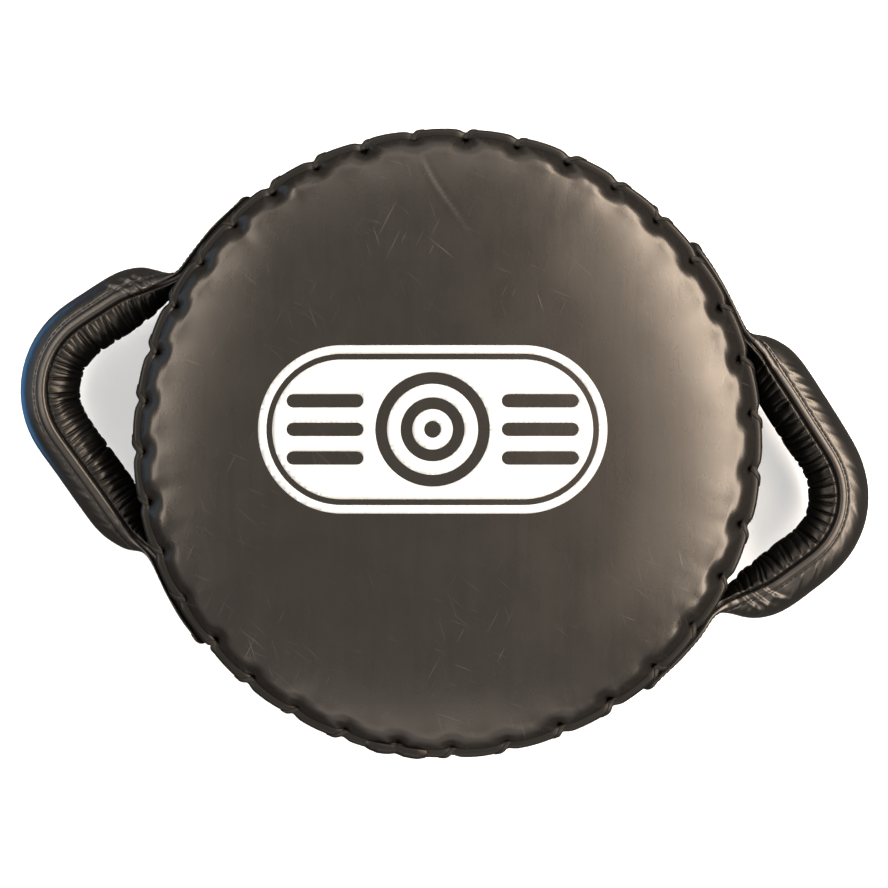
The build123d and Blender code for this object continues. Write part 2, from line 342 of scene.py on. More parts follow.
FACE_LEATHER = leather(
    "face_leather", (0.0030, 0.0026, 0.0022), (0.0056, 0.0049, 0.0042), 0.27, streaks=0.5, scratches=0.35)
EDGE_LEATHER = leather(
    "edge_leather", (0.0022, 0.0021, 0.0020), (0.0042, 0.0040, 0.0038), 0.34, specular=0.17)
LACE_LEATHER = leather(
    "lace_leather", (0.0020, 0.0019, 0.0017), (0.004, 0.0037, 0.0034), 0.5, grain=0.00005, specular=0.2)
HANDLE_LEATHER = leather(
    "handle_leather", (0.0018, 0.0017, 0.0016), (0.0036, 0.0035, 0.0034), 0.33, specular=0.46)
# The gathered inner covers are the same black leather as the outer covers. Their darker base colour is
# painted shade for the inside of the loop and its folds.
GATHERED_LEATHER_PAINTED_SHADE = leather(
    "gathered_leather", (0.0008, 0.00076, 0.0007), (0.0017, 0.0016, 0.0015), 0.30, specular=0.21)
INK = ink("print_ink")
THREAD = thread("thread", (0.0035, 0.0035, 0.0035))
SOFT_FOAM = foam("soft_foam", (0.55, 0.53, 0.45), (0.78, 0.76, 0.68), 600)
DENSE_FOAM = foam("dense_foam", (0.26, 0.26, 0.27), (0.42, 0.42, 0.43), 900)
BOARD_FOAM = foam("board_foam", (0.07, 0.07, 0.075), (0.13, 0.13, 0.135), 1200)
WEBBING = woven("webbing", (0.03, 0.03, 0.03), (0.09, 0.09, 0.09))


# ---------------------------------------------------------------- camera, lights and floor

CAMERA_OFF_CENTRE = (-0.0020, -0.0007)
CAMERA_DISTANCE = 1.6                # above the front rim
VIEW_WIDTH = 0.5355                  # of the picture, at the front rim
SENSOR = 36.0

WALLS_TO, CEILING_FROM = 0.15, 0.60  # sines of the elevation
WALL_LIGHT, CEILING_LIGHT = 0.25, 1.35

rim_z = (MID_Z + ROLL_RISE + ROLL_OUT) * MM
camera = bpy.data.objects.new("camera", bpy.data.cameras.new("camera"))
bpy.context.collection.objects.link(camera)
camera.data.sensor_width = SENSOR
camera.data.lens = SENSOR * CAMERA_DISTANCE / VIEW_WIDTH
camera.data.clip_start = 0.01
camera.location = (*CAMERA_OFF_CENTRE, rim_z + CAMERA_DISTANCE)
bpy.context.scene.camera = camera


def softbox(name, bearing, zenith, distance, size, power, colour):
    """A light aimed at the middle of the shield: bearing 0 is +X, zenith 0 overhead, in degrees,
    and its size level with the floor, then up."""
    lamp = bpy.data.lights.new(name, "AREA")
    lamp.shape = "RECTANGLE"
    lamp.size, lamp.size_y = size
    lamp.energy = power
    lamp.color = colour
    light = bpy.data.objects.new(name, lamp)
    bpy.context.collection.objects.link(light)
    out = Vector((
        sin(radians(zenith)) * cos(radians(bearing)),
        sin(radians(zenith)) * sin(radians(bearing)),
        cos(radians(zenith)),
    ))
    light.location = out * distance + Vector((0, 0, rim_z))
    light.rotation_mode = "QUATERNION"
    light.rotation_quaternion = out.to_track_quat("Z", "Y")
    return light


WARM = (1.0, 0.89, 0.77)
SOFT_WHITE = (1.0, 0.95, 0.90)

# Bearing, zenith, distance, size, power and colour
softbox("right_softbox", 17, 45, 1.9, (2.8, 0.45), 122, WARM)
softbox("right_glow", 10, 27, 1.9, (1.6, 0.7), 13, WARM)
softbox("left_softbox", 163, 47, 1.9, (1.7, 0.32), 24, (1.0, 0.93, 0.84))
softbox("top_fill", 95, 47, 2.1, (1.6, 0.5), 9, SOFT_WHITE)
softbox("bottom_fill", -95, 47, 2.1, (1.6, 0.5), 9, SOFT_WHITE)
softbox("top_wall", 92, 72, 2.1, (1.6, 1.0), 8, (1.0, 0.96, 0.90))
softbox("bottom_wall", -88, 72, 2.1, (1.6, 1.0), 7, SOFT_WHITE)
softbox("left_sky", 165, 86, 1.5, (1.4, 0.35), 2.3, (0.40, 0.68, 1.0))

# A blue mat beside the left handle, which only its reflection shows
mat = softbox("left_mat", 0, 0, 0.1, (0.12, 0.28), 0.24, (0.07, 0.42, 1.0))
mat.location = (-0.360, 0.085, 0.002)
mat.rotation_quaternion = (0, 1, 0, 0)
mat.visible_camera = False

# A bright ceiling over dim walls. The walls are pale where they are seen themselves.
world = bpy.data.worlds.new("world")
world.use_nodes = True
room = world.node_tree
background = room.nodes["Background"]
background.inputs["Color"].default_value = (1.0, 0.97, 0.94, 1)
direction = room.nodes.new("ShaderNodeTexCoord")
height = room.nodes.new("ShaderNodeSeparateXYZ")
brightness = room.nodes.new("ShaderNodeMapRange")
brightness.inputs["From Min"].default_value = WALLS_TO
brightness.inputs["From Max"].default_value = CEILING_FROM
brightness.inputs["To Min"].default_value = WALL_LIGHT
brightness.inputs["To Max"].default_value = CEILING_LIGHT
seen = room.nodes.new("ShaderNodeLightPath")
strength = room.nodes.new("ShaderNodeMath")
strength.operation = "MAXIMUM"
room.links.new(direction.outputs["Generated"], height.inputs["Vector"])
room.links.new(height.outputs["Z"], brightness.inputs["Value"])
room.links.new(brightness.outputs["Result"], strength.inputs[0])
room.links.new(seen.outputs["Is Camera Ray"], strength.inputs[1])
room.links.new(strength.outputs["Value"], background.inputs["Strength"])
bpy.context.scene.world = world
bpy.context.scene.view_settings.view_transform = "Standard"


def sheet_of_paper(name, height, dark, light, glow):
    """A wide flat sheet at a height in metres, which may glow by itself."""
    mesh = bpy.data.meshes.new(name)
    mesh.from_pydata([(x, y, height) for x, y in ((-4, -4), (4, -4), (4, 4), (-4, 4))], [], [(0, 1, 2, 3)])
    paper = Shader(name, dark, 0.9, Emission_Color=(1, 1, 1, 1), Emission_Strength=glow)
    speckle = paper.noise(paper.where, 3, detail=2)
    paper.link(paper.colour_between(speckle, dark, light), paper.bsdf.inputs["Base Color"])
    mesh.materials.append(paper.material)
    sheet = bpy.data.objects.new(name, mesh)
    bpy.context.collection.objects.link(sheet)
    return sheet


sheet_of_paper("floor", 0, (0.74, 0.74, 0.74), (0.77, 0.77, 0.77), 0.28)

# The leather reflects a dim floor instead of the overexposed white one
dim_floor = sheet_of_paper("dim_floor", 0.0002, (0.030, 0.029, 0.028), (0.038, 0.037, 0.036), 0)
dim_floor.visible_camera = False
dim_floor.visible_diffuse = False
dim_floor.visible_transmission = False
dim_floor.visible_shadow = False


# ---------------------------------------------------------------- lacing positions

def stitch_angle(number):
    """Degrees round the rim of a stitch."""
    even = number * 360 / STITCHES
    return even + LACE_SHIFT + LACE_DRIFT * cos(radians(even - LACE_DRIFT_AT))


STITCH_ANGLES = np.array(sorted(stitch_angle(k) % 360 for k in range(STITCHES)))
STITCH_PULL = 1 + 0.35 * rng.standard_normal(STITCHES).clip(-1.6, 1.6)
STITCH_LEAN = 1 + 0.25 * rng.standard_normal(STITCHES).clip(-1.6, 1.6)


def lacing_at(theta):
    """For angles in degrees: place between two stitches from 0 to 1, and the nearest stitch's
    signed distance in degrees, pull and lean."""
    theta = np.asarray(theta) % 360
    after = np.searchsorted(STITCH_ANGLES, theta) % STITCHES
    before = (after - 1) % STITCHES
    span = (STITCH_ANGLES[after] - STITCH_ANGLES[before]) % 360
    along = (theta - STITCH_ANGLES[before]) % 360
    share = along / span
    nearest = np.where(share < 0.5, before, after)
    away = (theta - STITCH_ANGLES[nearest] + 180) % 360 - 180
    return share, away, STITCH_PULL[nearest], STITCH_LEAN[nearest]


def scallop(theta):
    """0 at a stitch, 1 midway between two."""
    share, _, _, _ = lacing_at(theta)
    return 1 - (2 * share - 1) ** 2


# ---------------------------------------------------------------- strike face

def crown(radius):
    """Height of the smooth face above the floor and its slope in radians, radius in mm."""
    radius = np.asarray(radius, float)
    middle = FACE_TOP - (CROWN_R - np.sqrt(CROWN_R**2 - np.minimum(radius, SHOULDER_AT) ** 2))
    start = asin(SHOULDER_AT / CROWN_R)
    slope = np.arcsin(np.clip((radius - SHOULDER_AT) / SHOULDER_R + sin(start), sin(start), 0.9))
    slope = np.where(radius < SHOULDER_AT, np.arcsin(np.minimum(radius, SHOULDER_AT) / CROWN_R), slope)
    shoulder = SHOULDER_R * (cos(start) - np.cos(np.maximum(slope, start)))
    return middle - np.where(radius > SHOULDER_AT, shoulder, 0), slope


SHOULDER_END_R = SHOULDER_AT + SHOULDER_R * (sin(radians(SHOULDER_TILT)) - SHOULDER_AT / CROWN_R)
SHOULDER_END_Z = float(crown(SHOULDER_END_R)[0])


def rim_section(tilts_at, tilts):
    """Height of the face's edge over its radius, from the slopes (degrees) at some radii."""
    radius = np.linspace(SHOULDER_END_R, FACE_END_R + 1, 200)
    slope = np.radians(np.interp(radius, tilts_at, tilts))
    drop = np.concatenate([[0], np.cumsum(np.tan((slope[1:] + slope[:-1]) / 2) * np.diff(radius))])
    return radius, SHOULDER_END_Z - drop, slope


PINCH_WIDTH = 7.5                    # half width of the pinch at a lace hole
RIM_AT_STITCH = rim_section((SHOULDER_END_R, 176, 180, 185), (SHOULDER_TILT, 33, 43, 43))
RIM_BETWEEN = rim_section((SHOULDER_END_R, 177.5, 180.5, 184.5), (SHOULDER_TILT, 24, 41, 46))


def face_surface(radius, pinch):
    """Height and slope of the smooth face. pinch is 1 in line with a stitch and 0 between two."""
    z, slope = crown(np.minimum(radius, SHOULDER_END_R))
    for section, share in ((RIM_AT_STITCH, pinch), (RIM_BETWEEN, 1 - pinch)):
        z = z + share * (np.interp(radius, section[0], section[1]) - SHOULDER_END_Z)
        slope = slope + share * (np.interp(radius, section[0], section[2]) - radians(SHOULDER_TILT))
    return z, slope


CREASE = ((-17.0, 176.0), (16.0, 118.0))   # the one long crease near the top, from and to


def face_relief(x, y, from_edge, theta):
    """Height of folds, dents and puckers above the smooth face, in mm."""
    share, away, pull, lean = lacing_at(theta)
    sideways = np.radians(away) * PUCKER_R + 0.35 * lean * from_edge
    width = 2.6 + 0.45 * from_edge
    depth = 1.7 * pull * np.exp(-from_edge / 5.5)
    pucker = -depth * bump(sideways, width)
    ridge = 0.28 * depth * (bump(sideways - 1.9 * width, width) + bump(sideways + 1.9 * width, width))
    swell = 0.55 * (1 - (2 * share - 1) ** 2) * bump(from_edge - 4, 6)
    lumps = 0.4 * noise(x / 60, y / 60, 0, 3) + 0.10 * noise(x / 21, y / 21, 0, 5)
    pulls = 0.16 * noise(theta / 2.2, from_edge / 40, 0, 8) * bump(from_edge - 6, 16)
    crease_from, crease_to = np.array(CREASE)
    run = crease_to - crease_from
    dx, dy = x - crease_from[0], y - crease_from[1]
    t = np.clip((dx * run[0] + dy * run[1]) / (run @ run), 0, 1)
    bent = 1.6 * np.sin(t * 5.0)
    off = (dx * run[1] - dy * run[0]) / np.linalg.norm(run) - bent
    past_end = np.maximum(np.hypot(dx - t * run[0], dy - t * run[1]) - np.abs(off) - 1, 0)
    crease = 0.30 * (bump(off - 1.2, 1.3) - bump(off + 1.2, 1.5)) * bump(past_end, 4)
    crease = crease * smoothstep(0, 0.15, t) * smoothstep(1.0, 0.6, t)
    relief = pucker + ridge + swell + lumps * smoothstep(0, 20, from_edge) + pulls + crease
    return np.maximum(relief, -DEEPEST_DENT)


def make_face():
    """The crowned strike face, puckered at every lace hole."""
    edge_radius = np.linspace(SHOULDER_END_R, FACE_END_R, 30)[1:]
    radius = np.concatenate([np.linspace(2, 120, 34), np.linspace(123, SHOULDER_END_R, 22), edge_radius])
    theta = np.arange(COLUMNS) * 360 / COLUMNS
    r, t = np.meshgrid(radius, theta, indexing="ij")
    _, away, pull, _ = lacing_at(t)
    sideways = np.radians(away) * HOLE_R
    z, tilt = face_surface(r, bump(sideways, PINCH_WIDTH) * pull.clip(0.4, 1.3))
    edge = (FACE_END_R - r) / np.cos(tilt)
    x, y = r * np.cos(np.radians(t)), r * np.sin(np.radians(t))
    lift = face_relief(x, y, edge, t)
    spread = 1.0 * (scallop(t) - 0.5) * np.exp(-edge / 5.0)
    hole = -1.3 * pull.clip(0.4, 1.4) * bump(sideways, 1.3) * np.exp(-edge / 1.8)
    r2 = r + lift * np.sin(tilt) + spread + hole
    z2 = z + lift * np.cos(tilt)
    r2 = np.concatenate([r2, r2[-1:] + 0.1, r2[-1:] - 0.5])
    z2 = np.concatenate([z2, z2[-1:] - 0.9, z2[-1:] - 1.9])
    t = np.concatenate([t, t[:2]])
    points = np.stack([r2 * np.cos(np.radians(t)), r2 * np.sin(np.radians(t)), z2], axis=-1)
    piece = make_disc("strike_face_leather", points, FACE_LEATHER, flip=True)
    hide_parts("front_panel")
    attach(piece, "pad")


make_face()


# ---------------------------------------------------------------- side wall with its rolled edges

ROLL_SEAM, ROLL_WALL = 158, -62      # degrees round a rolled edge where it meets the seam and the wall
UPPER_SEED, LOWER_SEED = 21, 22      # of the two rolled edges' unevenness


def roll_at(theta, seed):
    """Rolled edge at an angle: radius of its middle, its own radius and its rise, in mm."""
    _, away, pull, _ = lacing_at(theta)
    squeeze = bump(np.radians(away) * LACE_PINCH_R, 3.4)
    wander = 0.35 * noise(np.asarray(theta) / 6.0, 0.5, 0, seed)
    own = ROLL_OUT * (1 - 0.22 * squeeze * pull.clip(0.5, 1.3)) + 0.2 * scallop(theta) + 0.4 * wander
    middle = ROLL_X - 0.7 * squeeze + 0.35 * scallop(theta) + wander
    return middle, own, -0.4 * squeeze


def roll_point(theta, angle, seed, upper=True, lift=0.0):
    """A point on the rolled edge, angle in degrees from outward towards the seam."""
    middle, own, sink = roll_at(theta, seed)
    side = 1 if upper else -1
    c, d = np.cos(np.radians(angle)), np.sin(np.radians(angle))
    u = np.sign(c) * np.abs(c) ** ROLL_SQUARE
    v = np.sign(d) * np.abs(d) ** ROLL_SQUARE
    r = middle + (own + lift) * u
    z = MID_Z + side * (ROLL_RISE + sink + (0.88 * own + lift) * v)
    return np.stack([r * np.cos(np.radians(theta)), r * np.sin(np.radians(theta)), z], axis=-1)


def polar_row(theta, r, z):
    """Points round the pad's axis at one height."""
    turn = np.radians(theta)
    return np.stack([r * np.cos(turn), r * np.sin(turn), np.full_like(theta, z)], axis=-1)


def make_gusset():
    """The side wall: a strip of leather with both edges rolled."""
    theta = np.arange(COLUMNS) * 360 / COLUMNS
    rows = [roll_point(theta, angle, UPPER_SEED) for angle in np.linspace(ROLL_SEAM, ROLL_WALL, 30)]
    waist = ROLL_RISE - ROLL_OUT - 3.0
    _, away, pull, _ = lacing_at(theta)
    for share in np.linspace(1, -1, 34):
        drop = 1 - abs(share)
        folds = -0.8 * pull * bump(np.radians(away) * WALL_FOLD_R, 2.2 + 3 * drop) * np.exp(-drop * 4.2)
        waves = 0.35 * noise(theta / 7, share * 3, 0, 31) + 0.12 * noise(theta / 1.6, share * 5, 0, 32)
        r = WALL_R - 0.3 + folds + 0.6 * waves.clip(-1, 0.5)
        z = MID_Z + share * waist
        rows.append(polar_row(theta, r, z))
    for angle in np.linspace(ROLL_WALL, ROLL_SEAM, 24):
        rows.append(roll_point(theta, angle, LOWER_SEED, upper=False))
    faces = grid_quads(len(rows), COLUMNS, True)
    piece = make_piece("side_wall_leather", np.stack(rows), faces, EDGE_LEATHER, flip=True)
    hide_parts("side_gusset")
    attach(piece, "pad")


make_gusset()


# ---------------------------------------------------------------- back

def make_back():
    """The flat back panel, turned up towards its laced edge."""
    columns = COLUMNS // 2
    theta = np.arange(columns) * 360 / columns
    flat = np.linspace(3, FLAT_BACK_R - 6, 27)
    bend = np.linspace(0, 1.15, 16)
    radius = np.concatenate([flat, FLAT_BACK_R - 4 + BACK_TURN_OUT * np.sin(bend)])
    height = np.concatenate([np.zeros_like(flat), BACK_TURN_UP * (1 - np.cos(bend))])
    from_edge = radius[-1] - radius
    r, t = np.meshgrid(radius, theta, indexing="ij")
    edge = np.broadcast_to(from_edge[:, None], r.shape)
    _, away, pull, _ = lacing_at(t)
    lift = 1.5 * pull * bump(np.radians(away) * PUCKER_R, 2 + 0.4 * edge) * np.exp(-edge / 4.5)
    soft = 0.25 * (1 + noise(r * np.cos(np.radians(t)) / 40, r * np.sin(np.radians(t)) / 40, 0, 9))
    z = np.broadcast_to(height[:, None], r.shape) + lift + soft * smoothstep(0, 12, edge) * 0.4
    points = np.stack([r * np.cos(np.radians(t)), r * np.sin(np.radians(t)), z], axis=-1)
    piece = make_disc("back_leather", points, EDGE_LEATHER)
    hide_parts("back_panel")
    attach(piece, "pad")


make_back()


# ---------------------------------------------------------------- laces

LACE_HOLE, LACE_END = 140, -48       # degrees round the rolled edge
LACE_THICKNESS = 0.95


def band(path, normals, width, thickness, sides=12):
    """Rounded flat lace along a path. Returns points (stations x sides) in mm."""
    path = np.asarray(path)
    along = np.gradient(path, axis=0)
    along /= np.linalg.norm(along, axis=1)[:, None]
    across = np.cross(normals, along)
    across /= np.linalg.norm(across, axis=1)[:, None]
    up = np.cross(along, across)
    angle = np.arange(sides) * 2 * pi / sides
    w = np.sign(np.cos(angle)) * np.abs(np.cos(angle)) ** 0.8 * width / 2
    h = np.sign(np.sin(angle)) * np.abs(np.sin(angle)) ** 0.8 * thickness / 2
    return path[:, None] + across[:, None] * w[None, :, None] + up[:, None] * h[None, :, None]


def make_strands(name, strands, material):
    """One piece from closed strands."""
    points, faces, count = [], [], 0
    for strand in strands:
        steps, sides, _ = strand.shape
        points.append(strand.reshape(-1, 3))
        faces.extend((grid_quads(steps, sides, True) + count).tolist())
        faces.append([count + k for k in range(sides)][::-1])
        faces.append([count + (steps - 1) * sides + k for k in range(sides)])
        count += steps * sides
    return make_piece(name, np.concatenate(points), faces, material)


def lace_strand(centre, sweep, seed, upper, width):
    """One strand over the rolled edge: from the hole in the seam, outwards and clockwise."""
    t = np.linspace(0, 1, 26)
    theta = centre - sweep * smoothstep(0.05, 1.0, t)
    angle = LACE_HOLE + (LACE_END - LACE_HOLE) * t
    lift = 0.05 + 0.18 * np.sin(pi * t)
    lift = lift - 2.2 * smoothstep(0.86, 1.0, t) - 1.6 * smoothstep(0.12, 0.0, t)
    path = np.array([roll_point(a, b, seed, upper, c) for a, b, c in zip(theta, angle, lift)])
    core = np.array([roll_point(a, b, seed, upper, -ROLL_OUT * 0.7) for a, b in zip(theta, angle)])
    normals = path - core
    normals /= np.linalg.norm(normals, axis=1)[:, None]
    return band(path, normals, width, LACE_THICKNESS)


def make_lacing(name, node, seed, upper):
    """Every visible stitch of one rim. A few have a second strand, which leans the other way."""
    strands = []
    for number, centre in enumerate(STITCH_ANGLES):
        width = 2.9 + 0.3 * rng.standard_normal()
        sweep = 2.7 * STITCH_LEAN[number]
        strands.append(lace_strand(centre + 0.3, sweep, seed, upper, width))
        if number % 9 == 4:
            strands.append(lace_strand(centre + 0.2, -0.7 * sweep, seed, upper, width * 0.9))
    piece = make_strands(name, strands, LACE_LEATHER)
    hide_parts(node)
    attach(piece, "pad")


make_lacing("front_lace", "front_edge_lace", UPPER_SEED, True)
make_lacing("rear_lace", "rear_edge_lace", LOWER_SEED, False)


# ---------------------------------------------------------------- printed mark

mark_low, mark_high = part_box("face_print")
MARK_CENTRE = ((mark_low.x + mark_high.x) / 2 / MM, (mark_low.y + mark_high.y) / 2 / MM)
MARK_SIZE = ((mark_high.x - mark_low.x) / MM, (mark_high.y - mark_low.y) / MM)
KEYLINE = (5.0, 8.5)                 # dark line inside the edge, from and to
RING_EDGES = (34.0, 27.0, 19.0, 12.0, 5.0)   # radii where black and white change places
BAR_LENGTH, BAR_HEIGHT, BAR_PITCH, BAR_X = 46.0, 8.0, 17.0, 64.0
BARS = [(side * BAR_X, row * BAR_PITCH) for side in (-1, 1) for row in (-1, 0, 1)]
MARK_STEP, MARK_GRID = 1.6, 3.1      # between points along the outlines and inside them
INK_LIFT, INK_THICKNESS = 0.10, 0.14


def stadium_distance(x, y, length, height):
    """Signed distance outside a stadium centred on the origin."""
    reach = (length - height) / 2
    return np.hypot(x - np.clip(x, -reach, reach), y) - height / 2


def stadium_outline(cx, cy, length, height, step):
    """Points round a stadium."""
    reach, r = (length - height) / 2, height / 2
    turn = max(8, int(pi * r / step))
    right = [(cx + reach + r * cos(a), cy + r * sin(a)) for a in np.linspace(-pi / 2, pi / 2, turn)]
    left = [(cx - reach + r * cos(a), cy + r * sin(a)) for a in np.linspace(pi / 2, 3 * pi / 2, turn)]
    top = [(x, cy + r) for x in np.arange(cx + reach - step, cx - reach, -step)]
    under = [(x, cy - r) for x in np.arange(cx - reach + step, cx + reach, step)]
    return right + top + left + under


def is_inked(x, y):
    """True where the mark is white."""
    x, y = x - MARK_CENTRE[0], y - MARK_CENTRE[1]
    inset = -stadium_distance(x, y, *MARK_SIZE)
    white = (inset > 0) & ~((inset > KEYLINE[0]) & (inset < KEYLINE[1]))
    r = np.hypot(x, y)
    for outer, inner in (RING_EDGES[0:2], RING_EDGES[2:4], (RING_EDGES[4], -1)):
        white &= ~((r < outer) & (r > inner))
    for bar_x, bar_y in BARS:
        white &= stadium_distance(x - bar_x, y - bar_y, BAR_LENGTH, BAR_HEIGHT) > 0
    return white


def face_height(x, y):
    """Height of the strike face under a point of the mark."""
    r = np.hypot(x, y)
    z, _ = crown(r)
    return z + face_relief(x, y, np.full_like(r, 200.0) - r, np.degrees(np.arctan2(y, x)))


def make_mark():
    """The ink layer: every white part of the mark, laid on the curved face."""
    cx, cy = MARK_CENTRE
    outlines = []
    for inset in (0, *KEYLINE):
        width, height = (size - 2 * inset for size in MARK_SIZE)
        outlines.append(stadium_outline(cx, cy, width, height, MARK_STEP))
    turns = np.linspace(0, 2 * pi, 96, endpoint=False)
    for r in RING_EDGES:
        outlines.append([(cx + r * cos(a), cy + r * sin(a)) for a in turns])
    for bar_x, bar_y in BARS:
        outlines.append(stadium_outline(cx + bar_x, cy + bar_y, BAR_LENGTH, BAR_HEIGHT, MARK_STEP))
    points, edges = [], []
    for outline in outlines:
        first = len(points)
        points += outline
        edges += [(first + k, first + (k + 1) % len(outline)) for k in range(len(outline))]
    for x in np.arange(cx - MARK_SIZE[0] / 2 + 2, cx + MARK_SIZE[0] / 2, MARK_GRID):
        for y in np.arange(cy - MARK_SIZE[1] / 2 + 1.7, cy + MARK_SIZE[1] / 2, MARK_GRID):
            points.append((x, y))
    flat, _, triangles, _, _, _ = delaunay_2d_cdt([Vector(p) for p in points], edges, [], 0, 1e-5)
    flat = np.array([tuple(p) for p in flat])
    triangles = np.array([t for t in triangles if len(t) == 3])
    middle = flat[triangles].mean(axis=1)
    triangles = triangles[is_inked(middle[:, 0], middle[:, 1])]
    used, triangles = np.unique(triangles, return_inverse=True)
    triangles = triangles.reshape(-1, 3)
    x, y = flat[used].T
    z = face_height(x, y) + INK_LIFT
    piece = make_piece("printed_mark", np.stack([x, y, z], axis=-1), triangles, INK)
    solid = piece.modifiers.new("thickness", "SOLIDIFY")
    solid.thickness = INK_THICKNESS * MM
    solid.offset = 0
    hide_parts("face_print")
    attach(piece, "pad")


make_mark()


# ---------------------------------------------------------------- lap over the side wall's closing joint

LAP_FROM, LAP_TO = 254.5, 266.5      # degrees round the pad
LAP_LIFT = 2.6
LAP_DROP = 26                        # its lower end, below the middle of the wall


def make_lap():
    """The wrapped patch over the joint of the side wall's strip."""
    theta = np.linspace(LAP_FROM, LAP_TO, 90)
    middle, half = (LAP_FROM + LAP_TO) / 2, (LAP_TO - LAP_FROM) / 2
    across = (theta - middle) / half
    lift = LAP_LIFT * (1 - np.abs(across) ** 6) - 0.8 + 0.35 * noise(theta * 1.1, 0.2, 0, 41)
    rows = []
    for angle in np.linspace(118, -55, 34):
        fade = smoothstep(118, 96, angle)
        rows.append(roll_point(theta, angle, UPPER_SEED, lift=lift * fade - 0.8 * (1 - fade)))
    for z in np.linspace(MID_Z + ROLL_RISE - ROLL_OUT - 2, MID_Z - LAP_DROP, 40):
        bottom = smoothstep(MID_Z - LAP_DROP, MID_Z - LAP_DROP + 4, z)
        r = WALL_R + (lift + 0.4 * noise(theta, z / 7, 0, 42)) * bottom - 0.6 * (1 - bottom)
        rows.append(polar_row(theta, r, z))
    faces = grid_quads(len(rows), len(theta), False)
    piece = make_piece("side_wall_lap", np.stack(rows), faces, EDGE_LEATHER, flip=True)
    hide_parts("gusset_lap")
    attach(piece, "pad")


make_lap()


# ---------------------------------------------------------------- handles

# The left handle in plan, in mm; the right one is turned half way round
UPPER_PIN, UPPER_START = (-176.0, 96.0), (-199.0, 88.2)
LOWER_START, LOWER_PIN = (-209.0, -33.5), (-192.0, -57.1)
CORNER_Y, CORNER_X = 44.8, {"left": -265.8, "right": -258.8}
LOOP_BEND_R = 47.0
UPPER_TAIL, LOWER_TAIL = (128.6, 147.5), (201.0, 219.6)
TAIL_MID_R, TAIL_HALF, TAIL_RISE = 190.6, 3.6, 29.5
TUBE_R = 18.0
STEP = 0.34                          # between stations along a handle
STITCH_PITCH = 3.6
THREAD_WIDTH, THREAD_THICKNESS = 0.7, 0.55


def handle_line(corner_x):
    """Middle line of a handle in plan from tail end to tail end: points, outward normals, run from
    the start, and distance from the nearer pin, positive towards the loop."""
    def arc(start, end):
        a = np.radians(np.linspace(start, end, 60))
        return TAIL_MID_R * np.stack([np.cos(a), np.sin(a)], axis=-1)

    up, corner, low = (np.array(p) for p in (UPPER_START, (corner_x, CORNER_Y), LOWER_START))
    d1 = (corner - up) / np.linalg.norm(corner - up)
    d2 = (low - corner) / np.linalg.norm(low - corner)
    turn = acos(d1 @ d2)
    reach = LOOP_BEND_R * tan(turn / 2)
    left_normal = np.array((-d1[1], d1[0]))
    centre = corner - d1 * reach + left_normal * LOOP_BEND_R
    a = np.linspace(0, turn, 60)[:, None]
    bend = centre - left_normal * LOOP_BEND_R * np.cos(a) + d1 * LOOP_BEND_R * np.sin(a)
    ends = ([UPPER_PIN, UPPER_START], [LOWER_START, LOWER_PIN])
    line = np.concatenate([arc(*UPPER_TAIL), ends[0], bend, ends[1], arc(*LOWER_TAIL)])
    for pass_number in range(2):
        run = np.concatenate([[0], np.cumsum(np.linalg.norm(np.diff(line, axis=0), axis=1))])
        count = int(run[-1] / STEP)
        even = np.linspace(0, run[-1], count)
        line = np.stack([np.interp(even, run, line[:, k]) for k in range(2)], axis=-1)
        if pass_number == 0:
            window = np.exp(-(np.arange(-50, 51) * STEP / 6.5) ** 2)
            window /= window.sum()
            padded = np.concatenate([2 * line[0] - line[50:0:-1], line, 2 * line[-1] - line[-2:-52:-1]])
            line = np.stack([np.convolve(padded[:, k], window, "valid") for k in range(2)], axis=-1)
    along = np.gradient(line, axis=0)
    along /= np.linalg.norm(along, axis=1)[:, None]
    outward = np.stack([along[:, 1], -along[:, 0]], axis=-1)
    if outward[len(line) // 2] @ line[len(line) // 2] < 0:
        outward = -outward
    upper_at = even[np.argmin(np.linalg.norm(line - np.array(UPPER_PIN), axis=1))]
    lower_at = even[np.argmin(np.linalg.norm(line - np.array(LOWER_PIN), axis=1))]
    return line, outward, even, np.minimum(even - upper_at, lower_at - even)


CREST = 1.3                          # the seam stands up along the tube
SEAM_DEPTH = 2.4                     # from the crest down to the stitches
NECK_FOLDS = ((3.0, 0.9), (9.5, 1.1), (17.0, 0.8))   # inward of the first pin, and their heights
FOLD_SLANT = 0.55
DEEPEST_FOLD = 1.7                   # the core is 2.3 mm under the leather


def eased(at, places, values):
    """Interpolation with its corners rounded over a few millimetres."""
    shifts = np.linspace(-5, 5, 21)
    weights = bump(shifts, 3.2)
    total = sum(w * np.interp(at + shift, places, values) for w, shift in zip(weights, shifts))
    return total / weights.sum()


def handle_sizes(s, inward):
    """Half thickness in plan outward and inward, half height and squareness of the section."""
    outer = eased(inward, (-18, -12, -6, 0, 6, 12, 20), (TAIL_HALF, 3.4, 7.2, 11.6, 15.0, 17.0, TUBE_R))
    inner = eased(inward, (-18, -13, -3, 3, 11, 20, 30), (TAIL_HALF, 3.0, 7.4, 9.8, 14.2, 17.0, TUBE_R))
    rise = eased(inward, (-24, -14, 0, 14, 34), (TAIL_RISE, 25.5, 19.5, 18.4, TUBE_R))
    square = eased(inward, (-20, -8, 4), (6.0, 2.8, 2.0))
    end = np.minimum(s, s[-1] - s)
    cut = np.clip(12 - end, 0, 11.9)
    rise = rise - (12 - np.sqrt(144 - cut**2))
    rounded = np.sqrt(np.clip(1 - np.clip(1 - end / 2.6, 0, 1) ** 2, 0.004, 1))
    close = rounded * (1 + 0.35 * bump(end - 5, 3.5))
    return outer * close, inner * close, rise, square


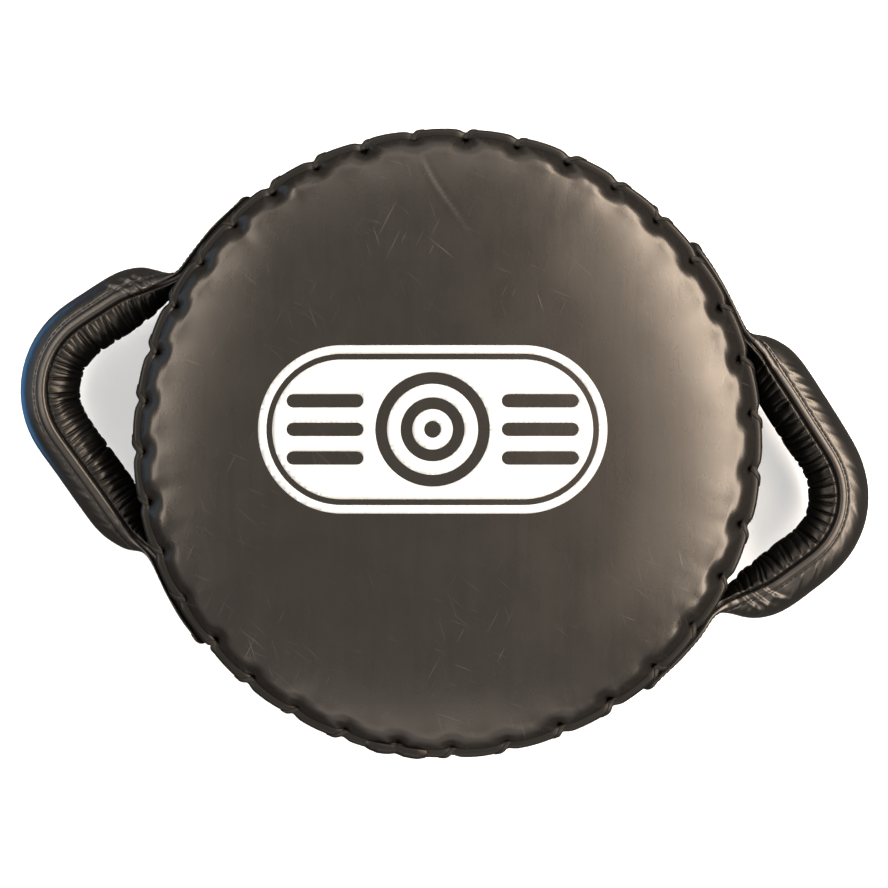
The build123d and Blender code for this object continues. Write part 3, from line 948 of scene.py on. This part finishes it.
def handle_surface(shape, station, angle, lift=0.0):
    """A point on the handle's section. Angle 0 is outward, 90 the front seam, in degrees."""
    line, outward = shape["line"][station], shape["outward"][station]
    angle = angle + shape["seam_shift"] * np.sin(np.radians(angle))
    outer, inner, rise, square = (v[station] for v in shape["sizes"])
    c, d = np.cos(np.radians(angle)), np.sin(np.radians(angle))
    half = np.where(c > 0, outer, inner)
    u = half * np.sign(c) * np.abs(c) ** (2 / square)
    v = rise * np.sign(d) * np.abs(d) ** (2 / square)
    nu = np.sign(c) * np.abs(c) ** (2 - 2 / square) / half
    nv = np.sign(d) * np.abs(d) ** (2 - 2 / square) / rise
    size = np.hypot(nu, nv) + 1e-9
    u, v = u + lift * nu / size, v + lift * nv / size
    x = line[..., 0] + u * outward[..., 0]
    y = line[..., 1] + u * outward[..., 1]
    return np.stack([shape["turn"] * x, shape["turn"] * y, MID_Z + v], axis=-1)


def from_seam(shape, station, angle):
    """Length along the section from the nearer seam, in mm."""
    half = (shape["sizes"][0][station] + shape["sizes"][1][station]) / 2
    rise = shape["sizes"][2][station]
    turn = np.radians(angle)
    return half * np.abs(np.cos(turn)) + rise * (1 - np.abs(np.sin(turn)))


def cover_mesh(name, shape, angles, relief, material):
    """One side's leather of a handle."""
    stations = np.arange(len(shape["run"]))
    station, angle = np.meshgrid(stations, angles, indexing="ij")
    points = handle_surface(shape, station, angle, relief(station, angle))
    faces = grid_quads(len(stations), len(angles), False)
    return make_piece(name, points, faces, material, flip=angles[0] < angles[-1])


def outer_relief(shape):
    """Smooth leather with a sewn-down band beside each seam and soft wrinkles in the bends."""
    def relief(station, angle):
        s = shape["run"][station]
        inward = shape["inward"][station]
        seed = shape["seed"]
        d = from_seam(shape, station, angle)
        row = shape["row"]
        valley = -SEAM_DEPTH * bump(d, 1.0)
        crest = CREST * np.clip(1 - d / 10, 0, 1) ** 1.2
        dimple = -0.85 * bump(d - row, 0.8)
        tube = smoothstep(-6, 10, inward)
        beside = smoothstep(row - 1, row + 0.6, d) * np.exp(-(d - row) / 6)
        creases = 0.16 * tube * noise(s / 2.3 + d * 0.35, d / 7, 0, seed) * beside
        wrinkles = 1.1 * noise(s / 4.5, np.asarray(angle) / 45, 0, seed + 1)
        wrinkles = wrinkles * bump(inward - 6, 14) * np.exp(-d / 12)
        pulled = noise(s / 2.8 + d * 0.30, d / 15, 0, seed + 3).clip(-0.1, 0.8)
        strained = (0.25 + 0.75 * smoothstep(72, 38, inward)) * tube
        crinkles = shape["crinkle"] * strained * pulled
        crinkles = crinkles * smoothstep(row + 0.8, row + 3.5, d) * smoothstep(row + 22, row + 9, d)
        soft = 0.30 * tube * noise(s / 28, np.asarray(angle) / 60, 0, seed + 2)
        soft = soft + 0.45 * (1 - tube) * noise(s / 15, np.asarray(angle) / 30, 0, seed + 4)
        folds = 0
        for at, height in NECK_FOLDS:
            off = inward - at - FOLD_SLANT * d
            folds = folds + height * (bump(off, 1.7) - 0.5 * bump(off - 2.8, 1.9))
        folds = folds * smoothstep(0.5, 0.45, s / shape["run"][-1]) * smoothstep(26, 10, d)
        return valley + crest + dimple + creases + wrinkles + crinkles + soft + folds
    return relief


def inner_relief(shape):
    """Leather gathered along both seams: folds of uneven depth and width that run in from each
    seam and fade out across the inside of the loop."""
    fold_rng = np.random.default_rng(shape["seed"])
    length = shape["run"][-1]
    folds = []
    for seam in (90, 270):
        at = 0.0
        while at < length:
            at += shape["pitch"] * fold_rng.uniform(0.55, 1.5)
            folds.append((seam, at, fold_rng.uniform(0.35, 1.45), fold_rng.uniform(-3.5, 3.5),
                          fold_rng.uniform(55, 150), fold_rng.uniform(0.5, 1.2)))

    def relief(station, angle):
        s = shape["run"][station]
        inward = shape["inward"][station]
        angle = np.asarray(angle, float)
        seed = shape["seed"]
        d = from_seam(shape, station, angle)
        tube = smoothstep(-8, 12, inward)
        wiggle = 1.1 * noise(s / 16, angle / 34, 0, seed + 5)
        height = np.zeros(np.broadcast(s, angle).shape)
        for seam, at, depth, slant, reach, width in folds:
            near = np.abs(s - at) < 12
            past = np.abs(angle - seam) / 90
            off = np.abs(s + wiggle - at - slant * past)
            fade = smoothstep(reach, reach * 0.45, past * 90)
            height -= np.where(near, depth * fade * np.exp(-((off / width) ** 1.15)), 0)
        grow = 0.50 + 0.50 * smoothstep(0, 5, d)
        puffs = np.maximum(shape["gather"] * tube * grow * (height + 0.35), -DEEPEST_FOLD)
        long_folds = 0.45 * tube * noise(s / 15, angle / 22, 0, seed + 8)
        seam_line = CREST * np.exp(-d / 4) - SEAM_DEPTH * bump(d, 1.0)
        wrinkles = 0.5 * noise(s / 5, angle / 40, 0, seed + 9) * bump(inward + 2, 14)
        return seam_line + puffs + long_folds + wrinkles
    return relief


def make_stitching(shape, name):
    """Rows of thread beside both seams, from tail to tail."""
    stations = np.arange(len(shape["run"]))
    fine = np.linspace(90, 4, 60)
    s = shape["run"]
    grid_s, grid_a = np.meshgrid(stations, fine, indexing="ij")
    section = handle_surface(shape, grid_s, grid_a)
    length = np.cumsum(np.linalg.norm(np.diff(section, axis=1), axis=2), axis=1)
    row_angle = np.array([np.interp(shape["row"], np.concatenate([[0], up_to]), fine) for up_to in length])
    relief = outer_relief(shape)
    strands = []
    starts = np.arange(9, s[-1] - 9, STITCH_PITCH)
    for side in (1, -1):
        for begin in starts:
            at = np.linspace(begin, begin + STITCH_PITCH * 0.9, 7)
            station = np.clip(np.searchsorted(s, at), 0, len(s) - 1)
            angle = side * row_angle[station]
            t = np.linspace(-1, 1, 7)
            lift = relief(station, angle) + 0.12 - 0.5 * t**4
            path = handle_surface(shape, station, angle, lift)
            under = handle_surface(shape, station, angle, lift - 3)
            normals = (path - under) / 3
            strands.append(band(path, normals, THREAD_WIDTH, THREAD_THICKNESS, sides=8))
    return make_strands(name, strands, THREAD)


def make_handle(side, turn, seed, pitch, gather, crinkle, row, seam_shift):
    """The leather and thread of one handle. The
    pitch of the gathers and the row's distance from the seam are in mm, seam_shift in degrees."""
    line, outward, run, inward = handle_line(CORNER_X[side])
    shape = {"line": line, "outward": outward, "run": run, "inward": inward,
             "sizes": handle_sizes(run, inward), "turn": turn, "seed": seed, "pitch": pitch,
             "gather": gather, "crinkle": crinkle, "row": row, "seam_shift": seam_shift}
    outer = cover_mesh(
        f"{side}_handle_outer_leather", shape, np.linspace(90, -90, 61), outer_relief(shape),
        HANDLE_LEATHER)
    # The inside cover takes the darker leather, whose colour is painted shade.
    inner = cover_mesh(
        f"{side}_handle_gathered_leather", shape, np.linspace(270, 90, 73), inner_relief(shape),
        GATHERED_LEATHER_PAINTED_SHADE)
    rows = make_stitching(shape, f"{side}_handle_stitching")
    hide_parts(f"{side}_grip_outer_cover", f"{side}_upper_tail", f"{side}_lower_tail")
    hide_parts(f"{side}_grip_inner_cover")
    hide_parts(f"{side}_grip_topstitch", f"{side}_tail_stitching")
    for piece in (outer, inner, rows):
        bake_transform(piece)


make_handle("left", 1, seed=51, pitch=3.9, gather=1.7, crinkle=0.35, row=8.2, seam_shift=1)
make_handle("right", -1, seed=71, pitch=5.4, gather=2.1, crinkle=0.9, row=6.4, seam_shift=10)


# ---------------------------------------------------------------- finishes of the hidden layers

HIDDEN = {
    "strike_foam": SOFT_FOAM,
    "core_foam": DENSE_FOAM,
    "backing_foam": BOARD_FOAM,
    "left_grip_core": SOFT_FOAM,
    "right_grip_core": SOFT_FOAM,
    "left_grip_webbing": WEBBING,
    "right_grip_webbing": WEBBING,
    "left_webbing_ends": WEBBING,
    "right_webbing_ends": WEBBING,
}
for name, material in HIDDEN.items():
    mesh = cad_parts[name].data
    mesh.materials.clear()
    mesh.materials.append(material)
